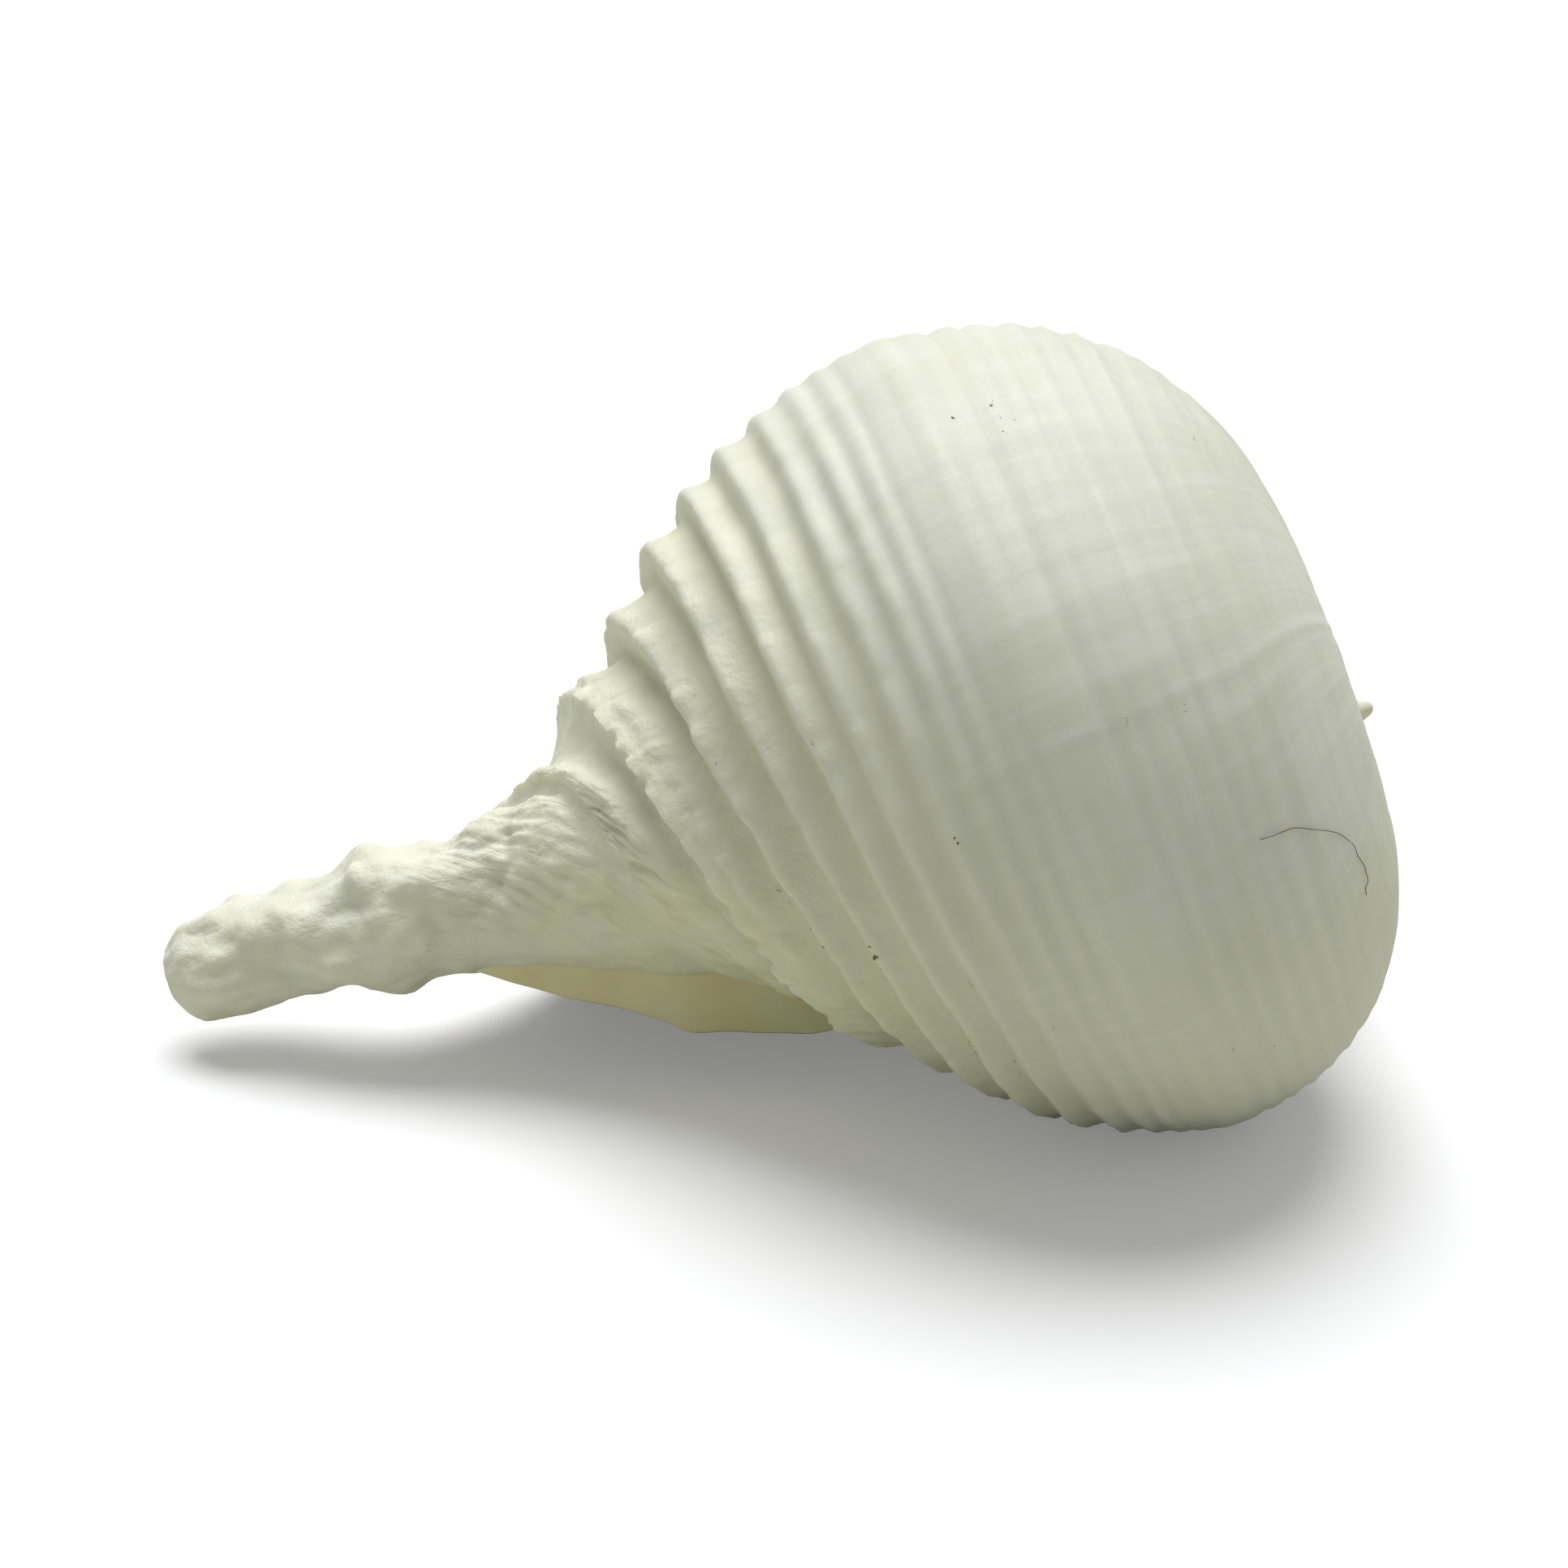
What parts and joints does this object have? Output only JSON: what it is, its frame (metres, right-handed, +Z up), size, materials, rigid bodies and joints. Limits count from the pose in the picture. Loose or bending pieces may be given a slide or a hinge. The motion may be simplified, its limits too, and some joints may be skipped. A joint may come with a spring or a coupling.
{
  "type": "sea snail shell",
  "caption": "Papery rapa: a thin white turnip-shaped sea snail shell with a low spire, spiral cords and a long canal, lying on its open side",
  "frame": {"origin": "middle of the bounding box, on the level floor the shell rests on", "axes": "+X along the shell from the canal tip to the apex; +Y away from the near side, towards the outer lip; +Z up, the aperture facing down"},
  "size_m": [0.0624, 0.0492, 0.0383],
  "materials": {
    "shell": "satin"
  },
  "bodies": {
    "root": {"shell": "shell"}
  },
  "joints": []
}
